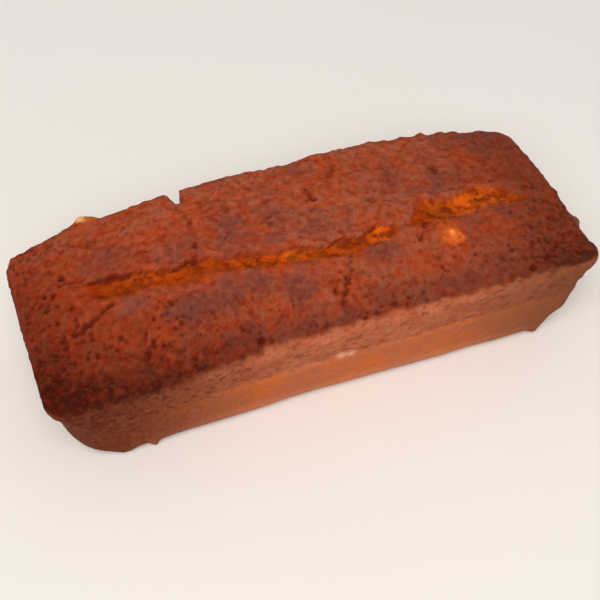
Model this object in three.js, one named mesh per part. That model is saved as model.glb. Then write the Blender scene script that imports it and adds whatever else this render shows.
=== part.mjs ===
// A banana bread: one whole loaf, turned out of its loaf tin and standing on its flat base.
// Millimetres, +Z up. +X runs along the loaf, -Y is its front side, and the origin is the
// middle of the base.
//
// The loaf starts as a box with a grid on each face. Its edges and upright corners are rounded,
// its walls lean out as the tin's did, the top rises to a low dome that stands higher at the
// back, and the crust is torn open along the top. Places on the top are measured from the
// middle of the tin's rim.
import * as THREE from "three";

// The tin's shape, at the loaf's four corners
const RIM_LENGTH = 292; // along the top edges
const RIM_WIDTH = 110;
const BASE_LENGTH = 270;
const BASE_WIDTH = 90;
const BASE_SHIFT = 4; // the left end leans in more: the base's middle lies this far to the right
const CORNER_HEIGHT = 58;
const RIM_CORNER_RADIUS = 10; // of the upright corners, at the rim and at the base
const BASE_CORNER_RADIUS = 26;
const EDGE_RADIUS = 8; // of the base's edge and of the top crust's edge

// How the loaf rose
const CROWN = 9.5; // the dome over a straight line from edge to edge
const CROWN_AT_ENDS = 0.35; // the share of the dome that is left at the two ends
const FRONT_RISE = 1.5; // how far the middle of the front edge rose above its corners
const BACK_RISE = 15; // and the middle of the back edge
const BACK_BULGE = 6; // how far the same place swelled out past the tin's line
const PLATEAU = 2.6; // over 2, the rise is flatter along the middle and steeper at the ends
const RIGHT_RISE = 1.5; // the right end is this much over the mean height, the left end under it

// The tear along the top
const TEAR_DEPTH = 4;
const TEAR_HALF_WIDTH = 6;
const TEAR_LEFT = -114;
const TEAR_RIGHT = 126;
const TEAR_FADE = 18; // the length over which each end of the tear closes
const TEAR_LINE = [
  [-146, 18],
  [-110, 14],
  [-55, 1],
  [10, -11],
  [70, -4],
  [110, -2],
  [146, -9],
];

// The grid
const ALONG = 48;
const ACROSS = 24;
const UP = 9;
const CROWD = 0.55; // over 0 draws the grid's lines together at the edges

const HALF_LENGTH = RIM_LENGTH / 2;
const HALF_WIDTH = RIM_WIDTH / 2;

const clamp = THREE.MathUtils.clamp;
const lerp = THREE.MathUtils.lerp;
const smoothstep = THREE.MathUtils.smoothstep;

const tearCurve = new THREE.SplineCurve(
  TEAR_LINE.map(([x, y]) => new THREE.Vector2(x, y)),
);
const tearPoints = tearCurve.getPoints(120);

// The tear's place across the loaf, at x along it.
function tearY(x) {
  const after = tearPoints.findIndex((point) => point.x >= x);
  const b = tearPoints[Math.max(after, 1)];
  const a = tearPoints[Math.max(after, 1) - 1];
  return THREE.MathUtils.mapLinear(x, a.x, b.x, a.y, b.y);
}

// A place along one of the box's sides, drawn towards the nearer end of that side.
function crowd(place, half) {
  const even = place / half;
  return half * lerp(even, Math.sin((even * Math.PI) / 2), CROWD);
}

// The box's grid point, with the lines that run along the loaf bent to follow the tear.
function gridPoint(x, y, z) {
  const along = crowd(x, HALF_LENGTH);
  const across = crowd(y, HALF_WIDTH);
  const bend = tearY(along) * (1 - (across / HALF_WIDTH) ** 2);
  const up = crowd(z, CORNER_HEIGHT / 2) + CORNER_HEIGHT / 2;
  return new THREE.Vector3(along, across + bend, up);
}

// Rounds the edges round the top and the base: past an inner box, the square of the offsets
// outwards and upwards is drawn in to a circle.
function roundEdges(point) {
  const inner = new THREE.Vector3(
    clamp(point.x, EDGE_RADIUS - HALF_LENGTH, HALF_LENGTH - EDGE_RADIUS),
    clamp(point.y, EDGE_RADIUS - HALF_WIDTH, HALF_WIDTH - EDGE_RADIUS),
    clamp(point.z, EDGE_RADIUS, CORNER_HEIGHT - EDGE_RADIUS),
  );
  const out = point.clone().sub(inner);
  const outwards = Math.max(Math.abs(out.x), Math.abs(out.y));
  const upwards = Math.abs(out.z);
  const longest = Math.max(outwards, upwards);
  if (longest > 0) out.multiplyScalar(longest / Math.hypot(outwards, upwards));
  return out.add(inner);
}

// Rounds the upright corners, more at the base than at the rim: past an inner rectangle, the
// square of offsets is drawn in to a circle.
function roundCorners(point) {
  const share = point.z / CORNER_HEIGHT;
  const radius = lerp(BASE_CORNER_RADIUS, RIM_CORNER_RADIUS, share);
  const inner = new THREE.Vector2(
    clamp(point.x, radius - HALF_LENGTH, HALF_LENGTH - radius),
    clamp(point.y, radius - HALF_WIDTH, HALF_WIDTH - radius),
  );
  const out = new THREE.Vector2(point.x - inner.x, point.y - inner.y);
  const longest = Math.max(Math.abs(out.x), Math.abs(out.y));
  if (longest > 0) out.multiplyScalar(longest / out.length());
  return new THREE.Vector3(inner.x + out.x, inner.y + out.y, point.z);
}

// How far the loaf rose at x along it: 1 along the middle and 0 at the ends.
function risen(x) {
  return Math.max(0, 1 - Math.abs(x / HALF_LENGTH) ** PLATEAU);
}

// The height of the crust over the base, before the tear.
function crustHeight(x, y) {
  const across = y / HALF_WIDTH;
  const edge = lerp(FRONT_RISE, BACK_RISE, (1 + across) / 2) * risen(x);
  const dome = CROWN * (1 - across ** 2) * lerp(CROWN_AT_ENDS, 1, risen(x));
  return CORNER_HEIGHT + edge + dome + (RIGHT_RISE * x) / HALF_LENGTH;
}

// How deep the tear is at a place on the top: a round-bottomed valley that closes at its ends.
function tearDepth(x, y) {
  const off = (y - tearY(x)) / TEAR_HALF_WIDTH;
  const valley = Math.exp(-(off ** 2));
  const opened =
    smoothstep(x, TEAR_LEFT, TEAR_LEFT + TEAR_FADE) *
    (1 - smoothstep(x, TEAR_RIGHT - TEAR_FADE, TEAR_RIGHT));
  return TEAR_DEPTH * valley * opened;
}

// Moves a rounded box's point to its place on the loaf. The share of the height that the point
// stands at scales the length, the width and the rise above it.
function bake(point) {
  const share = point.z / CORNER_HEIGHT;
  const across = point.y / HALF_WIDTH;
  const lengthScale = lerp(BASE_LENGTH / RIM_LENGTH, 1, share);
  const widthScale = lerp(BASE_WIDTH / RIM_WIDTH, 1, share);
  const swell = Math.max(0, across) ** 2 * risen(point.x) * share;
  const torn = tearDepth(point.x, point.y) * share ** 4;
  return new THREE.Vector3(
    point.x * lengthScale + BASE_SHIFT * (1 - share),
    point.y * widthScale + BACK_BULGE * swell,
    share * crustHeight(point.x, point.y) - torn,
  );
}

function makeLoafGeometry() {
  const geometry = new THREE.BoxGeometry(
    RIM_LENGTH,
    RIM_WIDTH,
    CORNER_HEIGHT,
    ALONG,
    ACROSS,
    UP,
  );
  const place = geometry.getAttribute("position");
  for (let i = 0; i < place.count; i++) {
    const point = gridPoint(place.getX(i), place.getY(i), place.getZ(i));
    const baked = bake(roundCorners(roundEdges(point)));
    place.setXYZ(i, baked.x, baked.y, baked.z);
  }
  // The back swelled and the front didn't, so the middle of the base is found again.
  geometry.computeBoundingBox();
  const middle = geometry.boundingBox.getCenter(new THREE.Vector3());
  geometry.translate(-middle.x, -middle.y, 0);
  geometry.computeVertexNormals();
  return geometry;
}

const crust = new THREE.MeshStandardMaterial({
  color: 0x8c4023,
  roughness: 0.6,
  metalness: 0,
});

const loaf = new THREE.Mesh(makeLoafGeometry(), crust);
loaf.name = "loaf";

const bananaBread = new THREE.Group();
bananaBread.add(loaf);

export default bananaBread;
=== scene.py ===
"""A whole banana bread, baked in a loaf tin and turned out: its looks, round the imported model.

The loaf is one piece. Its surface is one grid of points, run round the tin's section and along the
tin, then rounded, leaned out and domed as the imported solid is, and last of all given its relief:
the torn seam, cracks, burst bubbles and lumps of the top crust, and the smoother walls that the
tin made. What the relief is at each point is also kept on the mesh, and the crust's finish colours
it by that.
"""

import math

import bpy
import numpy as np
from mathutils import Euler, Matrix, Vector


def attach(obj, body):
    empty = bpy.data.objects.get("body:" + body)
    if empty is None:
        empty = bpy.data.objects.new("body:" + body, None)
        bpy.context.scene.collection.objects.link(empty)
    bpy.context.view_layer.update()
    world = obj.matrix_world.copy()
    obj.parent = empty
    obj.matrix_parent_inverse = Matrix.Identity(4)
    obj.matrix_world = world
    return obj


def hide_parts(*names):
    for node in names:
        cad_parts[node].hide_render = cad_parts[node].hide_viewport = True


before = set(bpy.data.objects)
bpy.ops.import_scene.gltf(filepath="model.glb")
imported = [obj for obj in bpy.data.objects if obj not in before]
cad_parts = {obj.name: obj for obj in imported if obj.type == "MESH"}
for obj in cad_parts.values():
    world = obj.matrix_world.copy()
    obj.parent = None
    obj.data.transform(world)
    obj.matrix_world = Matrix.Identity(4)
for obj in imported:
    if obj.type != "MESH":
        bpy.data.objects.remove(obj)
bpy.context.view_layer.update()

MM = 0.001  # lengths below are in millimetres until they reach a mesh or a material

# The loaf's shape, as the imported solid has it
RIM_LENGTH = 292  # along the top edges
RIM_WIDTH = 110
BASE_LENGTH = 270
BASE_WIDTH = 90
BASE_SHIFT = 4  # the base's middle lies this far to the right
CORNER_HEIGHT = 58
RIM_CORNER_RADIUS = 10  # of the upright corners, at the rim and at the base
BASE_CORNER_RADIUS = 26
EDGE_RADIUS = 8  # of the base's edge and of the top crust's edge
CROWN = 9.5  # the dome over a straight line from edge to edge
CROWN_AT_ENDS = 0.35  # the share of the dome that is left at the two ends
FRONT_RISE = 1.5  # how far the middle of the front edge rose above its corners
BACK_RISE = 15  # and the middle of the back edge
BACK_BULGE = 6  # how far the same place swelled out past the tin's line
PLATEAU = 2.6  # over 2, the rise is flatter along the middle and steeper at the ends
RIGHT_RISE = 1.5  # the right end is this much over the mean height, the left end under it
HALF_LENGTH = RIM_LENGTH / 2
HALF_WIDTH = RIM_WIDTH / 2

LATTICE = 32  # random values repeat after this many cells
TINY = 1e-9  # keeps a division from being by zero

# The grid: cells round the section, then along the loaf and from an end's rim to its middle
CELLS_BASE = 24
CELLS_WALL = 58
CELLS_TOP = 118
CELLS_ALONG = 286
CELLS_END = 36

# The torn seam along the top. Each row is a place along the loaf: there, the seam's middle across
# the loaf, its half width, how far it opened, how light its crumb is and how dark the painted
# shadow under the lip behind it is.
SEAM = [
    (-119, 11.5, 1.2, 0.0, 0.1, 0.6),
    (-112, 8, 2.6, 0.15, 0.05, 0.8),
    (-106, 5, 5.0, 0.55, 0.1, 0.9),
    (-99, 3, 6.6, 1.0, 0.3, 1.0),
    (-91, 2, 6.3, 1.0, 0.35, 1.0),
    (-84, 2, 6.0, 1.0, 0.5, 0.9),
    (-76, 0, 5.4, 0.9, 0.45, 0.3),
    (-69, -2.5, 5.3, 0.9, 0.4, 0.8),
    (-60, -2.5, 5.6, 0.9, 0.35, 0.9),
    (-54, -2, 5.3, 0.8, 0.35, 0.6),
    (-48, -2, 5.0, 0.8, 0.4, 0.2),
    (-40, -4.5, 4.6, 0.8, 0.45, 0.5),
    (-30, -6.5, 5.4, 0.9, 0.45, 0.5),
    (-20, -9, 4.2, 1.0, 0.55, 0.4),
    (-8, -9.8, 3.9, 1.0, 1.1, 0.3),
    (2, -12, 3.6, 0.9, 0.5, 0.4),
    (12, -13.3, 3.8, 0.9, 0.4, 0.8),
    (21, -13.8, 4.0, 0.8, 0.35, 0.8),
    (29, -11.5, 4.2, 0.8, 0.45, 0.5),
    (38, -10.5, 4.4, 1.0, 1.0, 0.6),
    (45, -10.5, 3.0, 0.6, 0.5, 0.3),
    (51, -9, 2.0, 0.15, 0.2, 0.1),
    (57, -7.5, 3.6, 0.55, 0.3, 0.1),
    (63, -5, 5.4, 0.8, 0.35, 0.2),
    (70, -4, 6.2, 0.9, 0.6, 0.3),
    (78, -5, 5.0, 0.8, 0.55, 0.2),
    (86, -4.5, 4.6, 1.0, 0.9, 0.2),
    (93, -2, 4.6, 1.0, 0.9, 0.2),
    (100, 0, 5.0, 0.9, 0.85, 0.4),
    (107, -1, 4.6, 0.8, 0.75, 0.3),
    (113, -3, 3.8, 0.7, 0.55, 0.2),
    (120, -6, 2.8, 0.5, 0.3, 0.2),
    (127, -8.5, 1.6, 0.2, 0.2, 0.1),
    (131, -9.5, 1.0, 0.0, 0.1, 0.1),
]
SEAM_DEPTH = 3.4
SEAM_LIP = 0.45  # how far the crust is lifted along both sides of the seam
# The seam's right part fades in over the first two places along the loaf, and out over the last two
RIGHT_SEAM = (51, 57, 120, 127)
RIGHT_SEAM_WIDER = 0.2  # the share by which that part is wider than its rows say
SOFT_SEAM = (51, 63)  # the stretch over which the seam's back lip turns from sharp to soft

# Cracks in the top crust: the points each runs through, its half width and its depth
CRACKS = [
    ([(-100, -6), (-104, -8), (-110, -11), (-117, -15), (-123, -17.5), (-130, -19)], 1.9, 1.7),
    ([(-56, 3), (-54, 6), (-52.5, 12), (-50, 20), (-51, 28), (-54, 38)], 1.3, 1.6),
    (
        [(-82, -24), (-78, -21), (-70, -15), (-63, -14), (-58, -14), (-55.5, -18), (-56.5, -23)],
        1.0,
        1.0,
    ),
    ([(-39, -31), (-39, -38)], 1.2, 1.6),
    ([(-46, -38), (-41, -43), (-38, -50)], 1.3, 1.6),
    ([(-89, -27), (-91, -33), (-90.5, -39)], 0.9, 1.3),
    ([(19, -18), (16, -25), (10, -32), (6, -40), (10, -46), (13.5, -53)], 1.8, 1.3),
    ([(14, 31), (12, 26), (13, 20)], 1.9, 1.3),
    ([(8, 27), (8.5, 19), (9, 12)], 1.6, 1.0),
    ([(33, 42), (30, 36), (26, 30)], 2.2, 1.2),
    ([(-10, 27), (-12, 18), (-13, 12)], 1.8, 1.1),
    ([(-31, 29), (-29, 22)], 2.0, 1.1),
    ([(63, -10), (60, -16), (56, -19)], 1.1, 1.5),
    ([(70, -9), (76, -10), (84, -12), (93, -17)], 1.1, 1.2),
    ([(-119, 22), (-118, 16), (-110, 14)], 1.2, 1.1),
    ([(50, -3), (48, 4), (40, 11)], 1.0, 0.8),
]

# Burst bubbles that stand out from the rest: (along, across, radius, depth)
BUBBLES = [
    (40, 11, 2.3, 1.6),
    (13.5, 20.5, 1.6, 1.4),
    (57, 18, 2.4, 1.0),
    (81, 34, 1.5, 1.0),
    (83, 22, 3.0, 1.2),
    (61, -31, 1.6, 1.2),
    (97, -30, 1.8, 0.9),
    (106, -49, 1.9, 1.8),
    (122, -35, 2.0, 1.4),
    (116, -46, 1.6, 1.3),
    (4, -35, 1.8, 1.6),
    (6.5, -41, 1.6, 1.4),
    (13, -52, 2.0, 1.8),
    (-12, 17, 1.5, 1.2),
    (-6, -49, 1.8, 1.2),
    (-109, 38, 1.6, 1.5),
    (-101, 36, 2.4, 1.5),
    (-120, 20, 1.8, 1.4),
    (-103, 1, 1.8, 1.4),
    (-112, 6, 1.5, 1.2),
    (-120, -12, 1.6, 1.2),
    (-128, -16, 1.8, 1.2),
    (-92, -37, 1.8, 1.4),
    (-120, -40, 2.2, 1.6),
    (-112, -42, 1.8, 1.4),
    (-133, -34, 2.0, 1.4),
    (-39, -48, 2.0, 1.4),
]

# Dull mauve-grey places on the top crust: (along, across, half length, half width, strength)
DULL_PLACES = [
    (-97, 19, 10, 9, 0.7),
    (-62, 11, 11, 8, 0.8),
    (-34, 15, 8, 13, 0.9),
    (-8, 16, 7, 13, 0.7),
    (-13, 2, 7, 5, 0.8),
    (8, 4, 16, 8, 0.8),
    (-90, -9, 9, 6, 0.9),
    (-64, -19, 11, 9, 1.0),
    (-47, -20, 9, 8, 0.9),
    (-30, -20, 8, 7, 0.8),
    (-12, -28, 9, 9, 0.9),
    (-6, -18, 8, 4, 0.6),
    (36, -20, 9, 5, 0.8),
    (2, -49, 9, 4, 0.8),
    (56, 21, 10, 9, 0.7),
    (83, 17, 10, 10, 0.8),
    (70, 9, 14, 6, 0.6),
    (86, -15, 7, 4, 0.7),
    (106, -11, 11, 5, 0.6),
    (94, -40, 15, 8, 0.6),
    (62, -47, 15, 5, 0.7),
    (-46, -44, 8, 6, 0.6),
    (-15, -47, 14, 6, 0.5),
    (-32, 46, 10, 4, 0.5),
    (14, 44, 10, 5, 0.5),
    (28, -44, 12, 6, 0.5),
    (110, 40, 14, 7, 0.5),
]

DULL_SPREAD = 1.2  # how many times its written size each dull place is

PLACE_REACH = 1.55  # a place fades out this many half sizes from its middle

# Places where the top crust is redder and brighter, written the same way
WARM_PLACES = [
    (-82, -30, 7, 6, 1.0),
    (-99, -26, 10, 8, 0.6),
    (-72, 27, 14, 9, 0.6),
    (-44, 24, 7, 9, 0.6),
    (-48, 34, 7, 6, 0.8),
    (-57, 37, 4, 5, 0.8),
    (-99, 46, 8, 5, 0.9),
    (-120, 28, 16, 10, 0.6),
    (-88, 42, 10, 6, 0.5),
    (-55, -38, 8, 7, 0.6),
    (-41, -27, 5, 8, 0.7),
    (-27, -36, 7, 8, 0.6),
    (10, -33, 6, 10, 1.0),
    (20, -15, 10, 4, 0.6),
    (30, 41, 6, 7, 0.8),
    (24, 28, 8, 8, 0.5),
    (51, -34, 9, 8, 0.8),
    (68, -34, 12, 6, 0.6),
    (100, -22, 14, 8, 0.7),
    (62, 32, 12, 6, 0.5),
    (108, 26, 16, 12, 0.5),
    (36, -2, 9, 6, 0.5),
    (-104, 6, 9, 5, 0.6),
    (-78, 6, 8, 3, 0.6),
]

# A piece of nut that shows through the top: its lumps, (along, across, radius, lift)
NUT = [
    (72, -22.5, 7.0, 1.6),
    (72.5, -21, 3.4, 2.3),
    (68.5, -23, 3.4, 1.6),
    (75.5, -25, 3.2, 1.5),
]

# Places at the edges that stand out or are drawn in, from the middle of the base: (along, across,
# height, radius, lift)
EDGE_LUMPS = [
    (144, -27, 58, 3.4, 2.4),
    (145, -48, 57, 7.0, 2.4),
    (140, -54, 58, 5.0, 1.2),
    (142, 0, 58, 28.0, 1.3),
    (140, 30, 58, 18.0, 0.9),
    (132, -49, 21, 6.0, 1.5),
    (131, -47, 7, 6.0, -1.6),
    (119, -47, 3, 3.0, 2.0),
    (-136, -44, 32, 14.0, -1.8),
    (-110, -47, 2, 5.0, 1.6),
    (-95.5, -47, 3, 2.0, 2.2),
    (0, -46, 0, 60.0, -1.2),
    (-138, 44, 60, 14.0, -1.2),
    (-118, 49, 62, 4.0, -1.0),
    (-80, 51, 67, 26.0, -1.0),
    (8, 55, 74, 18.0, -1.2),
    (50, 55, 73, 16.0, 0.8),
    (58, 54, 73, 3.0, 1.2),
    (69, 54, 72, 3.2, 1.4),
    (78, 54, 70.5, 3.0, 1.4),
    (90, 53, 68.5, 3.4, 1.5),
    (101, 52, 66.5, 2.8, 1.2),
    (110, 51, 65, 3.0, 1.3),
    (127, 50, 61, 3.4, 1.3),
]

# The back edge: a nick in it, and a pale flake of torn crumb that stands up on it
NOTCH_AT = -52.4
NOTCH_HALF_WIDTH = 3.7
NOTCH_SLANT = 0.15  # how far it runs along the loaf for each millimetre that it runs across
NOTCH_DEPTH = 12
NOTCH_REACH = 8
FLAKE_AT = -98.5
FLAKE_HALF = 6
FLAKE_LIFT = 2.8
FLAKE_REACH = 4
FLAKE_TURN = -100  # where along the loaf its colour turns from pale to orange
EDGE_INSET = 3  # the edge lies this far in from the rim's line
EDGE_DROP = 2  # and this far below it

# How deep the fine relief is
PIT_DEPTH = 1.2
DEEP_PIT_DEPTH = 1.4
STIPPLE_DEPTH = 0.5
WALL_PIT_DEPTH = 0.8

# The walls
CREASE = 0.6  # the share of the height at which the walls' crease lies
CREASE_STEP = 0.9  # how far the wall under the crease stands out
CREASE_DEPTH = 0.6
PALE_BASE = 17  # the height up to which the walls are paler
PALE_FADE = 12  # the height over which that fades
FLECK_AT = 4  # a pale fleck in the front wall's crease
FLECK_HALF = 20 / 3
FLECK_TAIL_AT = -12  # and the fainter streak that it lies on
FLECK_TAIL_HALF = 25

# The camera, in degrees and millimetres
CAMERA_TURN = -22.29
CAMERA_ELEVATION = 48.89
CAMERA_ROLL = 1.89
CAMERA_DISTANCE = 596
CAMERA_AIM = (-2.3, -5.7, 29)
CAMERA_LENS = 67.9

# The floor and the light
TABLE_HALF = 3000
LAMP_PLACE = (-900, -1700, 2600)
LAMP_AIM = (0, 0, 40)
LAMP_SIZE = 2200
LAMP_POWER = 107
LAMP_COLOUR = (1, 0.985, 0.965)
SURROUND_COLOUR = (1, 0.985, 0.97, 1)
SURROUND_STRENGTH = 0.44


def smoothstep(low, high, value):
    """0 below low, 1 above high, and 3t^2 - 2t^3 of the share t of the way between them."""
    t = np.clip((value - low) / (high - low), 0, 1)
    return t * t * (3 - 2 * t)


def waves(points, size, seed):
    """Smooth random relief about size across, mostly from -1 to 1.

    Every corner of a cubic lattice has a random slope. A point takes, from each of the eight
    corners round it, that slope times its distance from the corner, blended by
    6t^5 - 15t^4 + 10t^3.
    """
    slopes = np.random.default_rng(seed).normal(size=(LATTICE, LATTICE, LATTICE, 3))
    place = points / size
    low = np.floor(place).astype(int)
    part = place - low
    blend = part**3 * (part * (part * 6 - 15) + 10)
    total = np.zeros(points.shape[:-1])
    for corner in np.ndindex(2, 2, 2):
        near = np.array(corner)
        weight = np.prod(np.where(near, blend, 1 - blend), axis=-1)
        slope = slopes[tuple(np.moveaxis((low + near) % LATTICE, -1, 0))]
        total += weight * np.sum(slope * (part - near), axis=-1)
    return total


def puffs(points, size, seed):
    """Round-topped lumps with sharp creases between them, from -0.5 up to about 1.5: twice the size
    of the waves, whichever way they go, less a half."""
    return 2 * np.abs(waves(points, size, seed)) - 0.5


def bubbles(points, spacing, smallest, largest, seed):
    """How deep each point lies in a burst bubble, from 0 outside to 1 at its middle.

    Every cubic cell holds one ball at a random place, with a random radius that is more often
    small. A point's depth in a ball is 1 - (distance / radius)^2, and the deepest ball counts.
    """
    draws = np.random.default_rng(seed).uniform(size=(LATTICE, LATTICE, LATTICE, 4))
    cell = np.floor(points / spacing).astype(int)
    deepest = np.zeros(points.shape[:-1])
    for step in np.ndindex(3, 3, 3):
        near = cell + np.array(step) - 1
        draw = draws[tuple(np.moveaxis(near % LATTICE, -1, 0))]
        middle = (near + draw[..., :3]) * spacing
        radius = smallest + (largest - smallest) * draw[..., 3] ** 2
        apart = np.sum((points - middle) ** 2, axis=-1)
        deepest = np.maximum(deepest, 1 - apart / radius**2)
    return deepest


def line_distance(plan, line):
    """Each plan point's distance to the nearest point of a line of straight stretches."""
    nearest = np.full(plan.shape[:-1], np.inf)
    for start, end in zip(np.array(line[:-1], float), np.array(line[1:], float)):
        way = end - start
        share = np.clip((plan - start) @ way / (way @ way), 0, 1)
        gap = plan - start - share[..., None] * way
        nearest = np.minimum(nearest, np.hypot(gap[..., 0], gap[..., 1]))
    return nearest


def box_grid():
    """The grid on a plain box the size of the tin: rows of stations by columns round the section.

    A column goes round the section: over the base, up the front, over the top and down the back.
    A row stands at one place along the box. The first and last rows lie on the end walls: they are
    the section drawn in towards the end's middle, which the mesh closes with one more point.
    """
    base = np.linspace(1, -1, CELLS_BASE, endpoint=False)
    wall = np.linspace(-1, 1, CELLS_WALL, endpoint=False)
    top = np.linspace(-1, 1, CELLS_TOP, endpoint=False)
    across = np.concatenate([base, np.full(CELLS_WALL, -1), top, np.full(CELLS_WALL, 1)])
    up = np.concatenate([np.full(CELLS_BASE, -1), wall, np.full(CELLS_TOP, 1), -wall])
    drawn_in = np.arange(1, CELLS_END) / CELLS_END
    ones = np.ones(CELLS_ALONG + 1)
    along = np.concatenate(
        [np.full(CELLS_END - 1, -1), np.linspace(-1, 1, CELLS_ALONG + 1), np.full(CELLS_END - 1, 1)]
    )
    size = np.concatenate([drawn_in, ones, drawn_in[::-1]])
    box = np.empty((len(along), len(across), 3))
    box[..., 0] = along[:, None] * HALF_LENGTH
    box[..., 1] = size[:, None] * across * HALF_WIDTH
    box[..., 2] = (1 + size[:, None] * up) * CORNER_HEIGHT / 2
    return box


def round_edges(box):
    """The box with the edges round its top and its base made round.

    Past an inner box, the square of the offsets outwards and upwards is drawn in to a circle: an
    offset is shortened by the longer of the two over their length.
    """
    low = np.array([-HALF_LENGTH, -HALF_WIDTH, 0]) + EDGE_RADIUS
    high = np.array([HALF_LENGTH, HALF_WIDTH, CORNER_HEIGHT]) - EDGE_RADIUS
    inner = np.clip(box, low, high)
    out = box - inner
    outwards = np.abs(out[..., :2]).max(axis=-1)
    upwards = np.abs(out[..., 2])
    shorten = np.maximum(outwards, upwards) / np.maximum(np.hypot(outwards, upwards), TINY)
    return inner + out * shorten[..., None]


def round_corners(box):
    """The box with its upright corners made round, more at the base than at the rim.

    Past an inner rectangle, the square of the offsets is drawn in to a circle.
    """
    share = box[..., 2:] / CORNER_HEIGHT
    radius = BASE_CORNER_RADIUS + (RIM_CORNER_RADIUS - BASE_CORNER_RADIUS) * share
    limit = np.array([HALF_LENGTH, HALF_WIDTH]) - radius
    inner = np.clip(box[..., :2], -limit, limit)
    out = box[..., :2] - inner
    length = np.maximum(np.hypot(out[..., 0], out[..., 1]), TINY)
    shorten = np.abs(out).max(axis=-1) / length
    return np.concatenate([inner + out * shorten[..., None], box[..., 2:]], axis=-1)


def bake_shape(rounded):
    """The rounded box's points moved to the loaf's smooth shape.

    The share of the height scales the length and the width from the base's to the rim's. The
    crust's height is the corners', plus the rise of the front and back edges, plus a dome across,
    plus the right end's rise. The rise is 1 - |along|^plateau.
    """
    x, y, z = np.moveaxis(rounded, -1, 0)
    share = z / CORNER_HEIGHT
    across = y / HALF_WIDTH
    risen = np.clip(1 - np.abs(x / HALF_LENGTH) ** PLATEAU, 0, 1)
    length_scale = (BASE_LENGTH + (RIM_LENGTH - BASE_LENGTH) * share) / RIM_LENGTH
    width_scale = (BASE_WIDTH + (RIM_WIDTH - BASE_WIDTH) * share) / RIM_WIDTH
    bulge = BACK_BULGE * np.clip(across, 0, None) ** 2 * risen * share
    edge = (FRONT_RISE + (BACK_RISE - FRONT_RISE) * (1 + across) / 2) * risen
    dome = CROWN * (1 - across**2) * (CROWN_AT_ENDS + (1 - CROWN_AT_ENDS) * risen)
    height = CORNER_HEIGHT + edge + dome + RIGHT_RISE * x / HALF_LENGTH
    x = x * length_scale + BASE_SHIFT * (1 - share)
    return np.stack([x, y * width_scale + bulge, share * height], axis=-1)


def grid_normals(points):
    """Outward unit normals: the cross product of the grid's steps along and round."""
    along = np.gradient(points, axis=0)
    around = np.roll(points, -1, axis=1) - np.roll(points, 1, axis=1)
    normal = np.cross(along, around)
    return normal / np.linalg.norm(normal, axis=-1, keepdims=True)


def torn_seam(plan, slow, quick):
    """The seam's depth, how torn each point is, how light its crumb is, the lift of its lips, how
    dark the painted shadow under the lip behind it is and how strongly each point lies in the warm
    margin before it.

    The place across is measured from the seam's wandering middle in half widths. The depth grows
    gently from the front lip and ends at once at the back lip, which stands nearly upright, apart
    from the right part, where the back lip is soft. The lips, the painted shadow line under the
    back lip and the margin are round humps, exp(-t^2), at their places across.
    """
    along, *rows = np.array(SEAM, float).T
    x = plan[..., 0] + 2.5 * slow
    middle, half, opened, light, lip = (np.interp(x, along, row) for row in rows)
    begins, begun, ending, ended = RIGHT_SEAM
    right_part = smoothstep(begins, begun, x) * smoothstep(ended, ending, x)
    half = half * (1 + RIGHT_SEAM_WIDER * right_part)
    off = (plan[..., 1] - middle - 1.3 * slow - 0.9 * quick) / (half * (1 + 0.2 * slow))
    soft = smoothstep(*SOFT_SEAM, x)
    valley = smoothstep(-1.4, 0.2, off)
    valley = valley * (1 - smoothstep(0.86 - 0.4 * soft, 1.14 + 0.3 * soft, off))
    torn = smoothstep(-1.8 - 0.2 * soft, -0.5, off + 0.6 * quick)
    torn = torn * (1 - smoothstep(0.8 - 0.3 * soft, 1.05 + 0.45 * soft, off))
    torn = torn * smoothstep(0.05, 0.6, opened)
    lift = np.exp(-(((off - 1.35) / 0.4) ** 2)) + 0.4 * np.exp(-(((off + 1.6) / 0.5) ** 2))
    # painted shadow under the seam's back lip
    dark = lip * np.exp(-(((off - 0.93) / 0.13) ** 2)) * smoothstep(0, 0.4, opened)
    margin = np.exp(-(((off + 1.7) / 0.9) ** 2)) * opened
    return SEAM_DEPTH * valley * opened, torn, light, SEAM_LIP * lift * opened, dark, margin


def cracks(plan, slow, quick):
    """The depth of the cracks: each is a groove, depth * exp(-(distance / half)^2) from its
    wandering line, that fades in and out along it, and the deepest counts."""
    deepest = np.zeros(plan.shape[:-1])
    bent = plan + np.stack([1.1 * quick, 0.9 * slow - 0.6 * quick], axis=-1)
    broken = 0.25 + 0.75 * smoothstep(-0.5, 0.35, slow + 0.5 * quick)
    for line, half, depth in CRACKS:
        groove = depth * np.exp(-((line_distance(bent, line) / half) ** 2))
        deepest = np.maximum(deepest, groove * broken)
    return deepest


def round_places(plan, places):
    """The highest of the places' round humps, height * exp(-(distance / radius)^2): each row is
    along, across, radius and height."""
    highest = np.zeros(plan.shape[:-1])
    for x, y, radius, height in places:
        apart = np.hypot(plan[..., 0] - x, plan[..., 1] - y)
        highest = np.maximum(highest, height * np.exp(-((apart / radius) ** 2)))
    return highest


def patches(plan, places, wobble, spread=1):
    """How strongly a point lies in the listed places, each spread so many times its written size.

    The distance is measured in the place's half sizes, and moved by the wobble. The strength falls
    smoothly from the middle to 0.
    """
    strongest = np.zeros(plan.shape[:-1])
    for x, y, half_length, half_width, strength in places:
        off = np.hypot((plan[..., 0] - x) / half_length, (plan[..., 1] - y) / half_width) / spread
        strongest = np.maximum(strongest, strength * (1 - smoothstep(0, PLACE_REACH, off + wobble)))
    return strongest


def edge_lumps(smooth):
    """How far the lumps at the edges stand out: the sum of round humps about their places, each
    lift * exp(-(distance / radius)^2)."""
    lift = np.zeros(smooth.shape[:-1])
    for x, y, z, radius, height in EDGE_LUMPS:
        apart = np.linalg.norm(smooth - np.array([x, y, z]), axis=-1)
        lift += height * np.exp(-((apart / radius) ** 2))
    return lift


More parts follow.
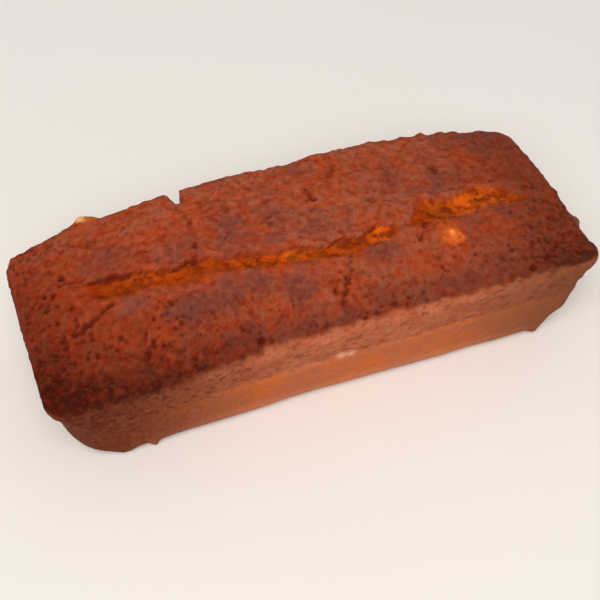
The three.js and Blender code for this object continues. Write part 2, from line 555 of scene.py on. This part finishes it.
def browning_and_front_shade(plan):
    """How dark the top crust is, 0 to 1: browned by the oven most at the front left corner, and
    more at both ends, the front edge and the back rim than in the middle, plus painted shade over
    the front half, most towards the left. It is a sum of smoothsteps."""
    x, y = plan[..., 0], plan[..., 1]
    left = smoothstep(-112, -142, x) * (0.16 + 0.2 * smoothstep(45, -5, y))
    left = left + 0.14 * smoothstep(-80, -112, x)
    corner = 0.13 * smoothstep(-20, -50, y) * smoothstep(-20, -110, x)
    right = smoothstep(80, 132, x) * (0.4 + 0.06 * smoothstep(15, -45, y))
    front = 0.3 * smoothstep(-32, -52, y) + 0.06 * smoothstep(-5, 60, x)
    # painted shade: the front half of the top is darker, most towards the left
    front = front + smoothstep(-5, -28, y) * (0.11 + 0.16 * smoothstep(0, -70, x))
    rims = 0.16 * smoothstep(-49, -54, y) + 0.3 * smoothstep(50, 54, y)
    return np.clip(left + corner + right + front + rims, 0, 1)


def firing(plan):
    """How red the oven made the top crust, 0 to 1: most at the left end, then at the right end, and
    least along the back."""
    x, y = plan[..., 0], plan[..., 1]
    left = smoothstep(40, -120, x) * (1 - 0.95 * smoothstep(20, 44, y))
    right = 0.5 * smoothstep(60, 110, x) * (1 - smoothstep(15, 45, y))
    return np.clip(left + right, 0, 1)


def pitting(plan):
    """How thickly the top crust is pitted, 0 to 1: most towards the front left corner, then along
    the ends and the front edge."""
    x, y = plan[..., 0], plan[..., 1]
    corner = smoothstep(-5, -35, y) * smoothstep(-45, -100, x)
    ends = 0.8 * smoothstep(-105, -135, x) + 0.8 * smoothstep(95, 125, x) * smoothstep(10, -25, y)
    return np.clip(0.3 + 1.2 * corner + ends + 0.4 * smoothstep(-15, -48, y), 0, 1)


def top_relief(plan, smooth, top, slow, quick):
    """How far the top crust is lifted and what it is like, at each point.

    The lift is the sum of lumps of three sizes, a grain that is coarser in the seam, the seam's
    lips and the piece of nut, less the seam, the cracks, the burst bubbles and pits of two sizes.
    The number before each wave or puff is its height.
    """
    seam_depth, torn, light, seam_lip, lip_shadow, margin = torn_seam(plan, slow, quick)
    crack_depth = cracks(plan, slow, quick)
    bubble_depth = round_places(plan + 0.8 * quick[..., None], BUBBLES)
    nut = round_places(plan + 0.6 * quick[..., None], NUT)
    pitted = pitting(plan) * smoothstep(-1.2, 0.3, waves(smooth, size=18, seed=3)) * (1 - torn)
    pit = bubbles(smooth, spacing=2.7, smallest=0.5, largest=1.7, seed=4)
    pit = pit * (0.25 * (1 - torn) + 0.75 * pitted)
    stretched = smooth * np.array([1, 0.8, 1])
    deep_pit = bubbles(stretched, spacing=3.4, smallest=0.6, largest=2.1, seed=15)
    deep_pit = deep_pit * smoothstep(0.2, 0.8, pitted)

    lumps = 0.9 * waves(smooth, size=30, seed=5) + 0.75 * slow + 0.6 * puffs(smooth, size=8, seed=6)
    coarse = waves(smooth, size=3.4, seed=7)
    small = waves(smooth, size=2.1, seed=8)
    crumb = waves(smooth, size=4, seed=9)
    lift = (
        lumps
        - 0.5
        + (0.32 * coarse + 0.22 * small) * (1 - torn)
        + (0.9 * crumb + 0.2 * small) * torn
        + seam_lip
        - seam_depth
        - crack_depth
        - bubble_depth
        - PIT_DEPTH * pit
        - DEEP_PIT_DEPTH * deep_pit
        + nut
    )
    # painted shade in the cracks, burst bubbles and pits, and the painted shadow under the seam's
    # back lip
    hollow_shade = 0.5 * crack_depth + 0.4 * bubble_depth + 1.1 * pit + deep_pit + 1.1 * lip_shadow
    warm = patches(plan, WARM_PLACES, 0.5 * slow + 0.3 * quick)
    kind = {
        "torn": torn * top,
        "light": light,
        "hollow_shade": np.clip(hollow_shade, 0, 1) * top,
        "raised": np.clip(0.5 + 0.7 * coarse + 0.4 * small, 0, 1),
        "browned_and_shaded": browning_and_front_shade(plan),
        "fired": firing(plan),
        "dull": patches(plan, DULL_PLACES, 0.7 * slow + 0.35 * quick, DULL_SPREAD),
        "warm": np.maximum(warm, 0.8 * margin),
        "nut": nut * top,
    }
    return top * lift, kind


def wall_relief(plan, smooth, share, wall, slow, leftward):
    """How far the walls stand out and what they are like, at each point.

    The lift is a step out under the crease, less a groove in the crease, plus waves and puffs, less
    a stipple and pits that thin out under the crease. Towards the left the crease softens and the
    pits deepen. The number before each wave or puff is its height.
    """
    crease = CREASE + 0.02 * slow
    under = 1 - smoothstep(crease - 0.05 - 0.12 * leftward, crease + 0.03 + 0.1 * leftward, share)
    in_crease = np.exp(-(((share - crease) / 0.03) ** 2))
    groove = in_crease * smoothstep(-0.3, 0.5, waves(smooth, size=16, seed=12)) * (1 - leftward)
    long_waves = waves(smooth * np.array([0.6, 1, 1]), size=2.6, seed=10)
    stipple = smoothstep(0.15, 0.7, long_waves) * (1 - 0.8 * under)
    stretched = smooth * np.array([0.7, 1, 1])
    pit = bubbles(stretched, spacing=2.8, smallest=0.4, largest=1.4, seed=11)
    pit = pit * (1 - 0.7 * under) * (0.5 + 0.9 * leftward)
    lift = (
        CREASE_STEP * (under - 0.5)
        - CREASE_DEPTH * groove
        + 0.5 * waves(smooth, size=20, seed=13)
        + 0.22 * puffs(smooth, size=4, seed=14) * (1.3 - under)
        - STIPPLE_DEPTH * stipple
        - WALL_PIT_DEPTH * pit
    )
    on_front = smoothstep(0.2, -0.2, plan[..., 1] / HALF_WIDTH)
    # how strongly the dents take painted shade: in the stipple and the pits, more towards the left
    dents = (0.7 * stipple + 0.8 * pit) * (1 + 0.7 * leftward)
    kind = {
        "under": under,
        "in_crease": in_crease * wall * on_front,
        "dents": np.clip(dents, 0, 1) * wall,
    }
    return wall * lift, kind


def back_edge_relief(rounded, quick):
    """How far the back edge is lifted, by its flake less its nick, and where the flake is.

    Both fade as exp(-(distance from the edge / reach)^2). Along the edge, the nick's sides are a
    smoothstep and the flake is exp(-(distance / half)^4).
    """
    x, y, z = np.moveaxis(rounded, -1, 0)
    from_edge = np.hypot(y - HALF_WIDTH + EDGE_INSET, z - CORNER_HEIGHT + EDGE_DROP)
    notch_off = np.abs(x - NOTCH_AT - NOTCH_SLANT * (HALF_WIDTH - y))
    notch = 1 - smoothstep(0.55, 1.1, notch_off / NOTCH_HALF_WIDTH)
    notch = notch * np.exp(-((from_edge / NOTCH_REACH) ** 2))
    flake = np.exp(-(((x - FLAKE_AT) / FLAKE_HALF) ** 4))
    flake = flake * np.exp(-((from_edge / FLAKE_REACH) ** 2))
    return FLAKE_LIFT * flake * (1 + 0.7 * quick) - NOTCH_DEPTH * notch, flake


def make_relief(rounded, smooth, normal):
    """Lifts and dents the smooth loaf. Returns its new points and what each point is like.

    A point moves along its normal by the sum of the reliefs that its place has: the top crust's
    where the normal points up, the walls' where it points out, and none on the base, which stays
    flat. The colour of the top reaches further down than its relief, most at the left.
    """
    plan = rounded[..., :2]
    share = rounded[..., 2] / CORNER_HEIGHT
    slow = waves(smooth, size=11, seed=1)
    quick = waves(smooth, size=4.5, seed=2)
    leftward = smoothstep(-25, -100, plan[..., 0])
    ragged = normal[..., 2] + 0.1 * quick + 0.12 * slow
    top = smoothstep(0.5, 0.66, ragged)
    crusty = smoothstep(0.44 - 0.64 * leftward, 0.72 - 0.16 * leftward, ragged)
    base = smoothstep(0.75, 0.97, -normal[..., 2])
    wall = (1 - top) * (1 - base)

    top_lift, top_kind = top_relief(plan, smooth, top, slow, quick)
    wall_lift, wall_kind = wall_relief(plan, smooth, share, wall, slow, leftward)
    edge_lift, flake = back_edge_relief(rounded, quick)
    lift = top_lift + wall_lift + edge_lumps(smooth) + edge_lift
    points = smooth + normal * (lift * (1 - base))[..., None]
    points[..., 2] = np.clip(points[..., 2], 0, None)
    return points, {"top": crusty, "flake": flake, **top_kind, **wall_kind}


def make_mesh(name, points, kind):
    """A closed mesh: the grid's cells as four-sided faces, round in one direction, and a fan of
    triangles over each end's middle. Everything in kind is kept as a value at each point."""
    rows, columns = points.shape[:2]
    index = np.arange(rows * columns).reshape(rows, columns)
    beside = np.roll(index, -1, axis=1)
    cells = np.stack([index[:-1], index[1:], beside[1:], beside[:-1]], axis=-1).reshape(-1, 4)
    left, right = rows * columns, rows * columns + 1
    left_fan = np.stack([np.full(columns, left), index[0], beside[0]], axis=-1)
    right_fan = np.stack([np.full(columns, right), beside[-1], index[-1]], axis=-1)
    middles = np.stack([points[0].mean(axis=0), points[-1].mean(axis=0)])
    vertices = np.concatenate([points.reshape(-1, 3), middles]) * MM
    mesh = bpy.data.meshes.new(name)
    mesh.from_pydata(vertices, [], cells.tolist() + left_fan.tolist() + right_fan.tolist())
    for label, values in kind.items():
        ends = [values[0].mean(), values[-1].mean()]
        attribute = mesh.attributes.new(label, "FLOAT", "POINT")
        attribute.data.foreach_set("value", np.append(values.ravel(), ends).astype(np.float32))
    mesh.shade_smooth()
    mesh.update()
    thing = bpy.data.objects.new(name, mesh)
    bpy.context.scene.collection.objects.link(thing)
    return thing


def make_loaf():
    """The loaf's whole surface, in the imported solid's place."""
    rounded = round_corners(round_edges(box_grid()))
    smooth = bake_shape(rounded)
    middle = (smooth.reshape(-1, 3).min(axis=0) + smooth.reshape(-1, 3).max(axis=0)) / 2
    smooth[..., :2] -= middle[:2]
    points, kind = make_relief(rounded, smooth, grid_normals(smooth))
    return make_mesh("baked_loaf", points, kind)


class Value:
    """A value in a finish. Arithmetic on it adds the Math nodes that work it out."""

    def __init__(self, finish, socket):
        self.finish = finish
        self.socket = socket

    def math(self, operation, *terms):
        """A Math node of these terms, which are values or numbers."""
        return self.finish.node("ShaderNodeMath", {"operation": operation}, dict(enumerate(terms)))

    def __add__(self, other):
        return self.math("ADD", self, other)

    def __sub__(self, other):
        return self.math("SUBTRACT", self, other)

    def __rsub__(self, other):
        return self.math("SUBTRACT", other, self)

    def __mul__(self, other):
        return self.math("MULTIPLY", self, other)

    def square(self):
        """The value times itself."""
        return self.math("MULTIPLY", self, self)

    def step(self, low, high):
        """0 below low, 1 above high and smooth between."""
        settings = {"interpolation_type": "SMOOTHSTEP"}
        inputs = {"Value": self, "From Min": low, "From Max": high}
        return self.finish.node("ShaderNodeMapRange", settings, inputs)

    def hump(self, middle, half):
        """1 at the middle and 0 from half away on, both in millimetres: a smoothstep of 1 - t^2."""
        off = 1 / (half * MM) * (self - middle * MM)
        return (1 - off.square()).step(0, 1)

    __radd__ = __add__
    __rmul__ = __mul__


class Finish:
    """One material, and the ways to add nodes to it."""

    def __init__(self, name):
        self.material = bpy.data.materials.new(name)
        self.material.use_nodes = True
        self.tree = self.material.node_tree
        self.tree.nodes.clear()

    def node(self, kind, settings, inputs, output=0):
        """Adds a node: its settings first, then its sockets, each a number, a colour or a link."""
        made = self.tree.nodes.new(kind)
        for name, setting in settings.items():
            setattr(made, name, setting)
        for name, value in inputs.items():
            if isinstance(value, Value):
                self.tree.links.new(value.socket, made.inputs[name])
            else:
                made.inputs[name].default_value = value
        return Value(self, made.outputs[output])

    def place(self):
        """Where each point is, in metres."""
        return self.node("ShaderNodeTexCoord", {}, {}, "Object")

    def kept(self, label):
        """What the mesh keeps at each point under this label."""
        return self.node("ShaderNodeAttribute", {"attribute_name": label}, {}, "Fac")

    def cloud(self, size):
        """Random cloudiness about size millimetres across, from 0 to 1."""
        inputs = {"Vector": self.place(), "Scale": 1 / (size * MM), "Detail": 3, "Roughness": 0.6}
        return self.node("ShaderNodeTexNoise", {}, inputs, "Fac")

    def pores(self, spacing):
        """Round pores, 1 at their middles, in about half of the cells of this many millimetres."""
        inputs = {"Vector": self.place(), "Scale": 1 / (spacing * MM)}
        gap = self.node("ShaderNodeTexVoronoi", {}, inputs, "Distance")
        return (0.42 - gap).step(0, 0.3) * self.cloud(2 * spacing).step(0.45, 0.6)

    def along(self):
        """The place along the loaf, in metres from its middle."""
        return self.node("ShaderNodeSeparateXYZ", {}, {"Vector": self.place()}, "X")

    def above(self):
        """The height over the base, in metres."""
        return self.node("ShaderNodeSeparateXYZ", {}, {"Vector": self.place()}, "Z")

    def mix(self, share, one, other):
        """The colour one where share is 0, and other where it is 1."""
        return self.node("ShaderNodeMix", {"data_type": "RGBA"}, {0: share, 6: one, 7: other}, 2)

    def surface(self, settings):
        """Ends the material in one shader with these settings."""
        shader = self.node("ShaderNodeBsdfPrincipled", {}, settings)
        end = self.tree.nodes.new("ShaderNodeOutputMaterial")
        self.tree.links.new(shader.socket, end.inputs["Surface"])
        return self.material


def shade(red, green, blue):
    """A colour from its 0 to 255 screen values, as the light-linear values that shaders take."""
    screen = np.array([red, green, blue]) / 255
    linear = np.where(screen <= 0.04045, screen / 12.92, ((screen + 0.055) / 1.055) ** 2.4)
    return (*linear.tolist(), 1)


# The top crust's colours
RED = shade(157, 57, 22)
MAUVE = shade(152, 81, 56)
FIRED_RED = shade(148, 44, 10)
FIRED_MAUVE = shade(143, 62, 32)
WARM = shade(172, 64, 18)
DULL = shade(120, 61, 47)
# a painted highlight on the raised grain, and painted shade in the sunk grain
RAISED_HIGHLIGHT = shade(170, 88, 58)
SUNK_SHADE = shade(112, 34, 10)
DARK_SPECK = shade(104, 30, 8)
PALE_SPECK = shade(168, 94, 66)
# dark crust where the oven browned it, also used as painted shade over the front half
BROWNED_AND_SHADED = shade(58, 15, 6)
BROWNED_AND_SHADED_RIGHT = shade(66, 28, 17)
# painted shade in the pores
PORE_SHADE = shade(70, 18, 4)
# painted shade in the hollows
HOLLOW_SHADE = shade(80, 16, 2)

# The colours of the crumb in the seam
CRUMB = shade(144, 44, 4)
CRUMB_LIGHT = shade(206, 88, 10)
CRUMB_OLIVE = shade(120, 56, 6)
CRUMB_DARK = shade(104, 30, 2)
CRUMB_BRIGHT = shade(222, 114, 26)

# The colours of the nut and the flake
NUT_FOOT = shade(164, 66, 20)
NUT_SIDE = shade(202, 94, 40)
NUT_TIP = shade(240, 138, 62)
FLAKE_ORANGE = shade(168, 88, 34)
FLAKE_PALE = shade(232, 164, 116)

# The walls' colours, over and under the crease
OVER = shade(164, 86, 56)
OVER_PALE = shade(178, 102, 72)
OVER_SPECK = shade(142, 68, 40)
UNDER = shade(176, 97, 62)
UNDER_ORANGE = shade(196, 100, 46)
UNDER_SPECK = shade(150, 78, 42)
FLECK = shade(214, 152, 124)
TOASTED_LEFT = shade(92, 38, 18)
TOASTED_RIGHT = shade(98, 56, 32)
BASE_PALE = shade(192, 136, 108)
# painted shade in the walls' dents
DENT_SHADE = shade(70, 26, 12)

# The tabletop's colours
TABLE = shade(225, 218, 212)
TABLE_LIGHT = shade(229, 223, 217)


def top_colour(finish, broad, middling, fine, browned_and_shaded):
    """The closed crust: red mottled with mauve, then redder where it was fired, the warm and the
    dull places, a painted highlight on the raised grain and painted shade in the sunk grain,
    specks, and brown where the oven caught it, with painted shade over the front half."""
    raised = finish.kept("raised")
    mottle = (0.3 * broad + 0.7 * middling).step(0.36, 0.64)
    crust = finish.mix(mottle, RED, MAUVE)
    redder = finish.mix(mottle, FIRED_RED, FIRED_MAUVE)
    crust = finish.mix(finish.kept("fired") * 0.85, crust, redder)
    crust = finish.mix(finish.kept("warm") * middling.step(0.3, 0.55) * 0.75, crust, WARM)
    crust = finish.mix(finish.kept("dull") * (0.85 + 0.4 * middling.step(0.35, 0.6)), crust, DULL)
    # painted highlight on the raised grain, then painted shade in the sunk grain
    crust = finish.mix(raised.step(0.5, 1) * 0.3, crust, RAISED_HIGHLIGHT)
    crust = finish.mix((1 - raised).step(0.5, 1) * 0.45, crust, SUNK_SHADE)
    crust = finish.mix((0.5 - fine).step(0, 0.25) * 0.4, crust, DARK_SPECK)
    crust = finish.mix((fine - 0.5).step(0, 0.25) * 0.2, crust, PALE_SPECK)
    rightward = finish.along().step(50 * MM, 120 * MM)
    # brown from the oven, and painted shade over the front half
    return finish.mix(browned_and_shaded, crust, finish.mix(rightward, BROWNED_AND_SHADED, BROWNED_AND_SHADED_RIGHT))


def crumb_colour(finish, broad, middling, fine):
    """The crumb that the seam lays open: orange, with olive and dark patches and bright specks."""
    light = finish.kept("light")
    crumb = finish.mix(light.step(0, 1.1), CRUMB, CRUMB_LIGHT)
    crumb = finish.mix(broad.step(0.46, 0.6) * 0.5, crumb, CRUMB_OLIVE)
    crumb = finish.mix((0.5 - middling).step(-0.12, 0.18) * 0.85, crumb, CRUMB_DARK)
    return finish.mix((fine - 0.5).step(0.04, 0.25) * light * 0.45, crumb, CRUMB_BRIGHT)


def wall_colour(finish, broad, middling, fine):
    """The walls: pinker over the crease and more orange under it, with a pale fleck in the front
    wall's crease, toasted towards both ends, paler along the base and with painted shade in the
    dents."""
    along, in_crease = finish.along(), finish.kept("in_crease")
    over = finish.mix(broad.step(0.3, 0.7), OVER, OVER_PALE)
    over = finish.mix(fine.step(0.45, 0.7) * 0.6, over, OVER_SPECK)
    under = finish.mix(finish.cloud(26).step(0.4, 0.7), UNDER, UNDER_ORANGE)
    under = finish.mix(fine.step(0.45, 0.7) * 0.3, under, UNDER_SPECK)
    wall = finish.mix(finish.kept("under"), over, under)
    fleck = in_crease * along.hump(FLECK_AT, FLECK_HALF)
    fleck = fleck + in_crease * along.hump(FLECK_TAIL_AT, FLECK_TAIL_HALF) * 0.2
    wall = finish.mix(fleck * middling.step(0.35, 0.55) * 0.8, wall, FLECK)
    left = (0 - along).step(15 * MM, 125 * MM) * 0.93
    uneven = (middling - 0.5) * 0.3 + (fine - 0.5) * 0.6
    wall = finish.mix(left + uneven * left, wall, TOASTED_LEFT)
    right = along.step(40 * MM, 140 * MM) * 0.75
    wall = finish.mix(right + (middling - 0.5) * 0.3 * right, wall, TOASTED_RIGHT)
    paler = (PALE_BASE * MM - finish.above()).step(0, PALE_FADE * MM)
    paler = paler * (0.42 - 0.45 * left) * (1 - along.step(70 * MM, 130 * MM))
    wall = finish.mix(paler, wall, BASE_PALE)
    # painted shade in the dents
    return finish.mix(finish.kept("dents") * 0.55, wall, DENT_SHADE)


def crust_finish():
    """The baked crust: red-brown and mottled on top, darker where the oven caught it and with
    painted shade over the front half, mauve-grey where it is dull, orange where it is torn, and
    paler on the walls, which the tin kept from the heat."""
    finish = Finish("baked_crust")
    broad, middling = finish.cloud(14), finish.cloud(5)
    fine, grit = finish.cloud(2.2), finish.cloud(1)
    pores = finish.pores(2.6)
    torn, hollow_shade, browned_and_shaded = finish.kept("torn"), finish.kept("hollow_shade"), finish.kept("browned_and_shaded")
    browned_and_shaded = browned_and_shaded + ((middling - 0.5) * 1.1 + (fine - 0.5) * 1.1) * browned_and_shaded

    crust = top_colour(finish, broad, middling, fine, browned_and_shaded)
    crumb = crumb_colour(finish, broad, middling, fine)
    crust = finish.mix((torn + (middling - 0.5) * torn).step(0.05, 1), crust, crumb)
    nut_lift = finish.kept("nut") + (middling - 0.5) * 1.4 * finish.kept("nut")
    nut = finish.mix(nut_lift.step(0.7, 1.6), NUT_FOOT, NUT_SIDE)
    nut = finish.mix(nut_lift.step(1.7, 2.3), nut, NUT_TIP)
    crust = finish.mix(nut_lift.step(0.3, 1), crust, nut)

    colour = finish.mix(finish.kept("top"), wall_colour(finish, broad, middling, fine), crust)
    from_turn = finish.along() - FLAKE_TURN * MM + (middling - 0.5) * (10 * MM)
    flake = finish.mix(from_turn.step(-3 * MM, 3 * MM), FLAKE_PALE, FLAKE_ORANGE)
    flaky = (finish.kept("flake") + (middling - 0.5) * 0.8).step(0.2, 0.7)
    colour = finish.mix(flaky, colour, flake)
    # painted shade in the pores of the top crust, more where the crust is darker
    pore_shade = (pores * finish.kept("top") * (0.3 + browned_and_shaded)).step(0, 1) * 0.4
    colour = finish.mix(pore_shade, colour, PORE_SHADE)
    # painted shade in the hollows, with the painted shadow under the seam's back lip
    colour = finish.mix((hollow_shade + (0.5 - fine) * hollow_shade).step(0, 1) * 0.85, colour, HOLLOW_SHADE)

    rough = 0.72 + (middling - 0.5) * 0.25 + torn * 0.1
    height = (middling + 0.6 * fine + 0.25 * grit - 0.5 * pores) * (1 - 0.6 * torn)
    bump_inputs = {"Strength": 0.6, "Distance": 0.9 * MM, "Height": height}
    bump = finish.node("ShaderNodeBump", {}, bump_inputs)
    return finish.surface(
        {"Base Color": colour, "Roughness": rough, "Specular IOR Level": 0.06, "Normal": bump}
    )


def table_finish():
    """A plain pale tabletop."""
    finish = Finish("pale_table")
    colour = finish.mix(finish.cloud(400), TABLE, TABLE_LIGHT)
    return finish.surface({"Base Color": colour, "Roughness": 0.7, "Specular IOR Level": 0.2})


def make_table():
    """A flat floor that fills the views from above. Low views see past its far edge."""
    half = TABLE_HALF * MM
    corners = [(-half, -half, 0), (half, -half, 0), (half, half, 0), (-half, half, 0)]
    mesh = bpy.data.meshes.new("table")
    mesh.from_pydata(corners, [], [(0, 1, 2, 3)])
    table = bpy.data.objects.new("table", mesh)
    bpy.context.scene.collection.objects.link(table)
    table.data.materials.append(table_finish())


def aim(thing, place, target, roll=0.0):
    """Puts a lamp or the camera at a place, turned to look at the target."""
    place, target = Vector(place), Vector(target)
    turn = (target - place).to_track_quat("-Z", "Y").to_matrix()
    thing.matrix_world = (turn @ Euler((0, 0, roll)).to_matrix()).to_4x4()
    thing.location = place


def make_camera():
    """The camera, turned and raised about the place it looks at."""
    turn, elevation = math.radians(CAMERA_TURN), math.radians(CAMERA_ELEVATION)
    back = Vector(
        (
            math.sin(turn) * math.cos(elevation),
            -math.cos(turn) * math.cos(elevation),
            math.sin(elevation),
        )
    )
    target = Vector(CAMERA_AIM) * MM
    data = bpy.data.cameras.new("camera")
    data.lens = CAMERA_LENS
    camera = bpy.data.objects.new("camera", data)
    bpy.context.scene.collection.objects.link(camera)
    aim(camera, target + back * CAMERA_DISTANCE * MM, target, math.radians(CAMERA_ROLL))
    bpy.context.scene.camera = camera


def light_studio():
    """Soft light from above and the front, in an even pale surround."""
    scene = bpy.context.scene
    scene.view_settings.view_transform = "Standard"
    world = bpy.data.worlds.new("studio")
    world.use_nodes = True
    surround = world.node_tree.nodes["Background"]
    surround.inputs["Color"].default_value = SURROUND_COLOUR
    surround.inputs["Strength"].default_value = SURROUND_STRENGTH
    scene.world = world
    data = bpy.data.lights.new("main_light", "AREA")
    data.size = LAMP_SIZE * MM
    data.energy = LAMP_POWER
    data.color = LAMP_COLOUR
    lamp = bpy.data.objects.new("main_light", data)
    scene.collection.objects.link(lamp)
    aim(lamp, Vector(LAMP_PLACE) * MM, Vector(LAMP_AIM) * MM)


make_camera()
light_studio()
make_table()
loaf = make_loaf()
loaf.data.materials.append(crust_finish())
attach(loaf, "root")
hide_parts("loaf")
